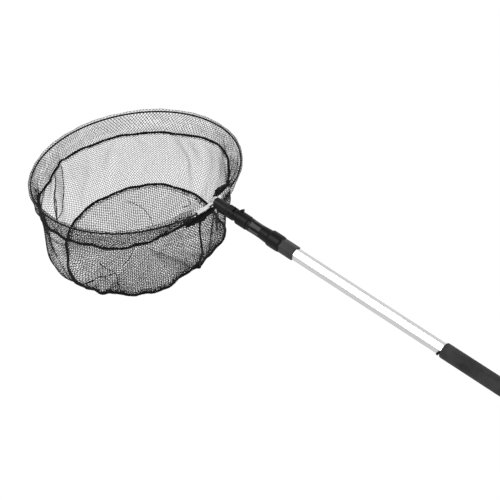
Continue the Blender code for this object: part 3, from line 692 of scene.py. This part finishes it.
def strand(name, path, radius, sides=7, material="tape"):
    """A closed round strand of textile along a path in the hoop's axes."""
    points, faces = sweep(to_world(path), radius, sides, False)
    obj = mesh_object(name, points, faces, PAINT[material], "head")
    clean(obj)
    return obj


def through(stops, count=80):
    """A smooth run of values through a few stops, each a row of numbers."""
    stops = np.asarray(stops, float)
    place = np.linspace(0.0, len(stops) - 1.0, count)
    index = np.clip(place.astype(int), 0, len(stops) - 2)
    t = (place - index)[:, None]
    before = stops[np.maximum(index - 1, 0)]
    start, end = stops[index], stops[index + 1]
    after = stops[np.minimum(index + 2, len(stops) - 1)]
    slope = (end - before) * t
    bend = (2.0 * before - 5.0 * start + 4.0 * end - after) * t ** 2
    turn = (3.0 * start - before - 3.0 * end + after) * t ** 3
    return 0.5 * (2.0 * start + slope + bend + turn)


WALL_CREASES = (  # stops of (angle in degrees, share down the wall)
    ((290, 0.31), (295, 0.40), (299, 0.48), (299, 0.79), (298, 0.97)),
    ((275, 0.79), (285, 0.64), (299, 0.48)),
    ((313, 0.06), (309, 0.20), (305, 0.30)),
    ((185, 0.03), (185, 0.25), (187, 0.50), (195, 0.71), (206, 0.74)),
    ((196, 0.06), (200, 0.24), (198, 0.53), (205, 0.73)),
)
BASE_CREASES = (  # stops of (x, y), -1 to 1 across the bottom
    ((-0.64, 0.44), (-0.41, 0.48), (-0.22, 0.42), (-0.09, 0.33)),
    ((0.05, 0.90), (0.13, 0.83), (0.07, 0.75)),
)


def build_creases():
    """Sharp pleats where the slack mesh doubles on itself."""
    for index, stops in enumerate(WALL_CREASES):
        line = through(stops)
        angle = np.radians(line[:, 0])
        path = swell_out(wall_surface(angle, line[:, 1]), angle, np.full_like(angle, -0.5 * MM))
        strand(f"wall_crease_{index}", path, 0.75 * MM, material="twine")
    for index, stops in enumerate(BASE_CREASES):
        line = through(stops)
        path = base_surface(line[:, 0], line[:, 1])
        strand(f"base_crease_{index}", path, 0.60 * MM, material="twine")


BUNCH = (  # a gathered strand: its two ends in degrees, then out, up and half thickness in mm
    (-22.0, 5.0, 0.0, 0.0, 2.7),
    (-19.0, -4.0, -2.0, 4.0, 2.8),
    (-18.0, 1.0, 0.0, -3.5, 2.8),
    (-14.0, 4.0, 1.0, 3.0, 2.3),
    (5.0, 33.0, -2.0, 1.0, 2.4),
    (7.0, 27.0, 1.0, 5.0, 3.2),
    (6.0, 24.0, 9.0, 10.0, 2.8),
)


def build_hub_bunch():
    """The mesh and tape bunched together where the bag is drawn up to the bracket."""
    for index, (start, end, out, up, size) in enumerate(BUNCH):
        angle = np.radians(np.linspace(start, end, 90))
        share = np.linspace(0.0, 1.0, 90)
        wander = 0.9 * np.sin(angle * (31.0 + 7.0 * index) + index)
        path = swell_out(seam_path(UPPER, angle), angle, (out + wander) * MM)
        path[:, 2] += (up + 0.8 * np.sin(angle * 43.0 + 2.0 * index)) * MM
        taper = np.sin(math.pi * np.clip(share, 0.02, 0.98)) ** 0.6
        lumps = 1.0 + 0.18 * np.sin(share * 40.0 + index)
        strand(f"hub_bunch_{index}", path, size * MM * taper * lumps, 9)


# Stops of (angle in degrees, share down the wall)
SIDE_SEAM = ((-8.5, 0.02), (-9.0, 0.15), (-9.0, 0.31), (-7.0, 0.58), (-4.0, 0.80), (-2.0, 0.97))
SIDE_SEAM_R = 1.7 * MM
KNOT_TURNS = 2.6
KNOT_R = 2.0 * MM


def build_side_seam():
    """The closing seam of the bag, a narrow bound strip down the wall, knotted at its foot."""
    line = through(SIDE_SEAM, 160)
    angle, down = np.radians(line[:, 0]), line[:, 1]
    path = swell_out(wall_surface(angle, down), angle, np.full_like(angle, 0.6 * MM))
    size = SIDE_SEAM_R * (1.0 + 0.14 * np.sin(down * 190.0) + 0.25 * down ** 3)
    seam = strand("side_seam_tape", path, size, 12)
    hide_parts("side_seam")
    turn = np.linspace(0.0, KNOT_TURNS * TAU, 120)
    loops = np.stack([2.4 * np.cos(turn), 3.4 * np.sin(turn), 3.0 * np.sin(turn * 0.7)], -1) * MM
    strand("side_seam_knot", path[-1] + loops, KNOT_R, 8)


# ---------------------------------------------------------------- handle

def hexagon(flats, corner, steps=5):
    """Outline of a hexagon with a corner up and rounded corners, as (y, z) points."""
    centre_r = (flats / 2.0 - corner) / math.cos(math.radians(30.0))
    points = []
    for k in range(6):
        middle = math.radians(30.0 + 60.0 * k)
        for s in range(steps):
            turn = middle + math.radians(-30.0 + 60.0 * s / (steps - 1))
            points.append((centre_r * math.cos(middle) + corner * math.cos(turn),
                           centre_r * math.sin(middle) + corner * math.sin(turn)))
    return np.array(points)


def hex_tube(node, flats, bore, body):
    """An extruded tube with rounded corners and softly broken edges at its ends."""
    low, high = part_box(node)
    break_edge = 0.25 * MM
    outline = hexagon(flats, 0.9 * MM)
    inner = hexagon(bore, 0.6 * MM)
    shrink = hexagon(flats - 2.0 * break_edge, 0.8 * MM)
    rings = [(low.x, inner), (low.x, shrink), (low.x + break_edge, outline),
             (high.x - break_edge, outline), (high.x, shrink), (high.x, inner)]
    points = np.vstack([np.c_[np.full(len(o), x), o] for x, o in rings])
    faces = grid_faces(len(rings), len(outline), close_rows=True, close_columns=True)
    name = node + "_extrusion"
    tube = mesh_object(name, points, faces, PAINT["tube"], body, (node,))
    clean(tube)
    tube.data.set_sharp_from_angle(angle=math.radians(35.0))


def refined(node, name, material, body, width):
    """The node's own shape with its sharp edges rounded."""
    obj = bpy.data.objects.new(name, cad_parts[node].data.copy())
    bpy.context.scene.collection.objects.link(obj)
    bm = bmesh.new()
    bm.from_mesh(obj.data)
    bmesh.ops.remove_doubles(bm, verts=bm.verts, dist=2e-6)
    bmesh.ops.dissolve_limit(bm, angle_limit=math.radians(1.0), verts=bm.verts, edges=bm.edges)
    bm.to_mesh(obj.data)
    bm.free()
    obj.data.polygons.foreach_set("use_smooth", np.full(len(obj.data.polygons), True))
    bevel = obj.modifiers.new("soft_edges", "BEVEL")
    bevel.width = width
    bevel.segments = 2
    bevel.limit_method = "ANGLE"
    bevel.angle_limit = math.radians(35.0)
    bevel.harden_normals = False
    weighted = obj.modifiers.new("weighted_normals", "WEIGHTED_NORMAL")
    weighted.keep_sharp = True
    obj.data.materials.clear()
    obj.data.materials.append(material)
    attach(obj, body)
    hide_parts(node)
    return obj


GRIP_BORE_R = 11.3 * MM
GRIP_EDGE = 2.4 * MM         # rounding at the grip's two ends
RIB_PITCH = 2.9 * MM
RIB_STARTS = 9.0             # ribs that run side by side round the grip
RIB_DEPTH = 0.30 * MM
RIB_RUN_IN = 3.0 * MM        # length over which the ribs rise at each end


def build_grip():
    """The foam grip with fine slanted ribs pressed into it."""
    low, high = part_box("grip")
    along, around = 500, 190
    x = low.x + (high.x - low.x) * np.linspace(0.0, 1.0, along)
    from_end = np.minimum(x - low.x, high.x - x)
    inset = np.maximum(GRIP_EDGE - from_end, 0.0)
    fall = GRIP_EDGE - np.sqrt(np.maximum(GRIP_EDGE ** 2 - inset ** 2, 0.0))
    turn = np.arange(around) * TAU / around
    slant = np.sin((x[:, None] - low.x) / RIB_PITCH * TAU + RIB_STARTS * turn[None])
    press = np.clip(from_end / RIB_RUN_IN, 0.0, 1.0)[:, None]
    r = high.z - fall[:, None] - press * RIB_DEPTH * (1.0 - slant) / 2.0
    skin = np.stack([np.broadcast_to(x[:, None], r.shape), r * np.cos(turn), r * np.sin(turn)], -1)
    ring = np.stack([GRIP_BORE_R * np.cos(turn), GRIP_BORE_R * np.sin(turn)], -1)
    bore = [np.c_[np.full(around, end), ring] for end in (high.x, low.x)]
    points = np.concatenate([skin.reshape(-1, 3)] + bore)
    faces = grid_faces(along + 2, around, close_rows=True, close_columns=True)
    grip = mesh_object("grip_foam", points, faces, PAINT["foam"], "outer_handle", ("grip",))
    clean(grip)


FLAT_AREA = 40.0 * MM ** 2   # a collar's flats are its outward faces larger than this


def paint_flats(collar, paint):
    """Gives a collar's six flats a slightly lighter black: a painted highlight for the light that the
    flats reflect.
    """
    collar.data.materials.append(PAINT[paint])
    for face in collar.data.polygons:
        across = math.hypot(face.center.y, face.center.z)
        outward = (face.normal.y * face.center.y + face.normal.z * face.center.z) / max(across, 1e-9)
        if abs(face.normal.x) < 0.02 and outward > 0.5 and face.area > FLAT_AREA:
            face.material_index = 1


SHELLS = (  # node, name, paint, body, slot, width of the rounded edges
    ("outer_collar", "outer_collar_shell", "collar", "outer_handle", "collar_plastic", 0.5 * MM),
    ("mid_collar", "mid_collar_shell", "collar", "mid_section", "collar_plastic", 0.4 * MM),
    ("butt_cap", "butt_cap_shell", "collar", "outer_handle", "collar_plastic", 0.4 * MM),
    ("head_sleeve", "head_sleeve_shell", "sleeve", "inner_section", "sleeve_plastic", 0.35 * MM),
    ("hub_knuckle", "hub_knuckle_shell", "knuckle", "head", "knuckle_plastic", 0.35 * MM),
    ("hub_bracket", "hub_bracket_strip", "bright", "head", "bright_steel", 0.25 * MM),
    ("release_button", "release_button_cap", "button", "button", "button_plastic", 0.4 * MM),
)


def build_handle():
    """The tubes, the grip and the moulded or bent pieces, each around its own node."""
    hex_tube("outer_tube", 19.0 * MM, 17.2 * MM, "outer_handle")
    hex_tube("mid_tube", 16.0 * MM, 14.2 * MM, "mid_section")
    hex_tube("inner_tube", 13.0 * MM, 11.2 * MM, "inner_section")
    build_grip()
    shells = {node: refined(node, name, PAINT[paint], body, width)
              for node, name, paint, body, slot, width in SHELLS}
    # Painted highlight: the collars' flats get a lighter copy of their black plastic.
    paint_flats(shells["outer_collar"], "skirt_highlight")
    paint_flats(shells["mid_collar"], "panel_highlight")


FRAME_PAINTS = {
    "grip_stud": "button",
    "mid_tail_plug": "plug",
    "inner_tail_plug": "plug",
    "sleeve_pin": "dark_pin",
    "hinge_pin": "dark_pin",
    "button_spring": "pin",
    "hub_screw": "bright",
    "hoop_wire": "hoop",
}


def paint_frame():
    """Better materials for the CAD nodes that stay visible."""
    for node, paint in FRAME_PAINTS.items():
        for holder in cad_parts[node].material_slots:
            holder.material = PAINT[paint]


# ---------------------------------------------------------------- camera, floor and light

HUB_AHEAD = 0.113                            # the hub's screw, ahead of the outer collar's front
CAMERA_FROM_HUB = (1.182, -1.575, 1.943)
CAMERA_RIGHT = (0.767, 0.637, 0.078)
CAMERA_BACK = (0.398, -0.568, 0.7205)
CAMERA_LENS_MM = 122.4


def build_camera():
    """The camera above and beside the net, looking down into the bag."""
    hub = Vector((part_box("outer_collar")[0].x - HUB_AHEAD, 0.0, 0.0))
    camera = bpy.data.cameras.new("camera")
    camera.sensor_width = 36.0
    camera.lens = CAMERA_LENS_MM
    camera.clip_end = 120.0
    holder = bpy.data.objects.new("camera", camera)
    bpy.context.scene.collection.objects.link(holder)
    right = Vector(CAMERA_RIGHT).normalized()
    back = Vector(CAMERA_BACK)
    back = (back - right * back.dot(right)).normalized()
    place = Matrix((right, back.cross(right), back)).transposed().to_4x4()
    place.translation = hub + Vector(CAMERA_FROM_HUB)
    holder.matrix_world = place
    bpy.context.scene.camera = holder


FLOOR_DROP = 0.25            # from the net's lowest point to the floor
FLOOR_HALF = 40.0
CURVE_START, CURVE_R = 5.0, 3.0
BACKDROP_HEIGHT = 9.0


def floor_profile():
    """The floor's line from front to back, as (y, z): flat, then curved, then upright."""
    turns = np.linspace(0.1, math.pi / 2.0, 12)
    curve = [(CURVE_START + CURVE_R * math.sin(a), CURVE_R - CURVE_R * math.cos(a)) for a in turns]
    upright = (CURVE_START + CURVE_R, BACKDROP_HEIGHT)
    return [(-FLOOR_HALF, 0.0), (CURVE_START, 0.0)] + curve + [upright]


def floor_material():
    """White paper that glows a little, so that it stays white under the net."""
    material, _, _, shader = new_material("floor_paper")
    shader.inputs["Base Color"].default_value = (0.02, 0.02, 0.02, 1.0)
    shader.inputs["Specular IOR Level"].default_value = 0.0
    shader.inputs["Roughness"].default_value = 0.9
    shader.inputs["Emission Color"].default_value = (1.0, 1.0, 1.0, 1.0)
    shader.inputs["Emission Strength"].default_value = 1.0
    return material


def build_floor():
    """A wide white floor below the net, curving up behind it."""
    floor_z = CAD_BOX[0][2] - FLOOR_DROP
    bm = bmesh.new()
    rows = [[bm.verts.new((x, y, floor_z + z)) for x in (-FLOOR_HALF, FLOOR_HALF)]
            for y, z in floor_profile()]
    for front, behind in zip(rows, rows[1:]):
        bm.faces.new((front[0], front[1], behind[1], behind[0]))
    mesh = bpy.data.meshes.new("floor")
    bm.to_mesh(mesh)
    bm.free()
    mesh.shade_smooth()
    floor = bpy.data.objects.new("floor", mesh)
    bpy.context.scene.collection.objects.link(floor)
    mesh.materials.append(floor_material())


def area_light(name, place, aim, size, power):
    """A square lamp at a place, turned to the point that it aims at."""
    light = bpy.data.lights.new(name, "AREA")
    light.size = size
    light.energy = power
    holder = bpy.data.objects.new(name, light)
    bpy.context.scene.collection.objects.link(holder)
    holder.location = place
    holder.rotation_euler = (Vector(aim) - Vector(place)).to_track_quat("-Z", "Y").to_euler()


def build_light():
    """An even studio sky with a key lamp and a fill lamp."""
    world = bpy.data.worlds.new("studio")
    bpy.context.scene.world = world
    world.use_nodes = True
    sky = world.node_tree.nodes["Background"]
    sky.inputs["Color"].default_value = (1.0, 1.0, 1.0, 1.0)
    sky.inputs["Strength"].default_value = 0.35
    area_light("key", place=(-1.6, -2.2, 3.2), aim=(-0.5, 0.0, 0.0), size=2.4, power=120.0)
    area_light("fill", place=(2.4, 1.6, 2.6), aim=(-0.4, 0.0, 0.0), size=2.8, power=60.0)
    bpy.context.scene.view_settings.view_transform = "Standard"
    bpy.context.scene.view_settings.look = "None"


build_camera()
build_floor()
build_light()
build_band()
build_wall()
build_base()
build_hub_panel()
build_seam("upper_binding", UPPER, "upper_seam", 1.8 * MM)
build_seam("lower_binding", LOWER, "lower_seam", 1.9 * MM)
build_upper_raw_edge()
build_lower_raw_edge()
build_creases()
build_hub_bunch()
build_side_seam()
build_handle()
paint_frame()
